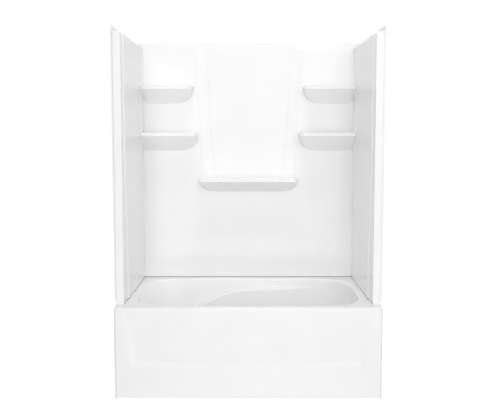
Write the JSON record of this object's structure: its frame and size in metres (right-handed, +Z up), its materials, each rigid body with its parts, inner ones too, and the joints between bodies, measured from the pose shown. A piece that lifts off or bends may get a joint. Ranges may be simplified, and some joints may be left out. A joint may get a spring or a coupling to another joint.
{
  "type": "alcove tub and shower unit",
  "caption": "White moulded alcove bath with integral apron and armrest, stepped side walls, shelved back wall, timber base and a waste with a lifting stopper.",
  "frame": {"origin": "on the floor, in the middle of the unit's width and depth", "axes": "+X along the bath towards its drain end, +Y from the open front towards the wall studs, +Z up"},
  "size_m": [1.524, 0.813, 2.097],
  "materials": {
    "white_composite": "gloss",
    "plywood": "matte",
    "pine": "matte",
    "grey_seal": "matte",
    "black_rubber": "matte",
    "black_plastic": "satin",
    "white_plastic": "satin",
    "spring_steel": "brushed",
    "chrome": "polished"
  },
  "bodies": {
    "unit": {"tub": "white_composite", "back_wall": "white_composite", "left_wall": "white_composite", "right_wall": "white_composite", "rim_seal_left": "grey_seal", "rim_seal_right": "grey_seal", "rim_seal_back": "grey_seal", "corner_seal_left": "grey_seal", "corner_seal_right": "grey_seal", "apron_brace_left": "pine", "apron_brace_right": "pine", "rim_clip_back_left": "spring_steel", "rim_clip_back_right": "spring_steel", "rim_clip_left_front": "spring_steel", "rim_clip_left_rear": "spring_steel", "rim_clip_right_front": "spring_steel", "rim_clip_right_rear": "spring_steel", "corner_clip_left_lower": "spring_steel", "corner_clip_left_middle": "spring_steel", "corner_clip_left_upper": "spring_steel", "corner_clip_right_lower": "spring_steel", "corner_clip_right_middle": "spring_steel", "corner_clip_right_upper": "spring_steel", "base_board": "plywood", "base_runner_left": "pine", "base_runner_middle": "pine", "base_runner_right": "pine", "drain_flange": "chrome", "drain_gasket": "black_rubber", "drain_shoe": "black_plastic", "waste_pipe": "black_plastic", "waste_tee": "black_plastic", "overflow_pipe": "black_plastic", "slip_nut_shoe": "white_plastic", "slip_nut_tee_side": "white_plastic", "slip_nut_tee_top": "white_plastic", "slip_nut_elbow": "white_plastic", "overflow_gasket": "black_rubber", "overflow_elbow": "black_plastic", "overflow_plate": "chrome", "overflow_screw_lower": "chrome", "overflow_screw_upper": "chrome"},
    "stopper": {"stopper": "chrome"}
  },
  "joints": [
    {"name": "stopper_lift", "type": "slide", "parent": "unit", "child": "stopper", "axis": [0, 0, 1], "range_m": [0, 0.009]}
  ]
}
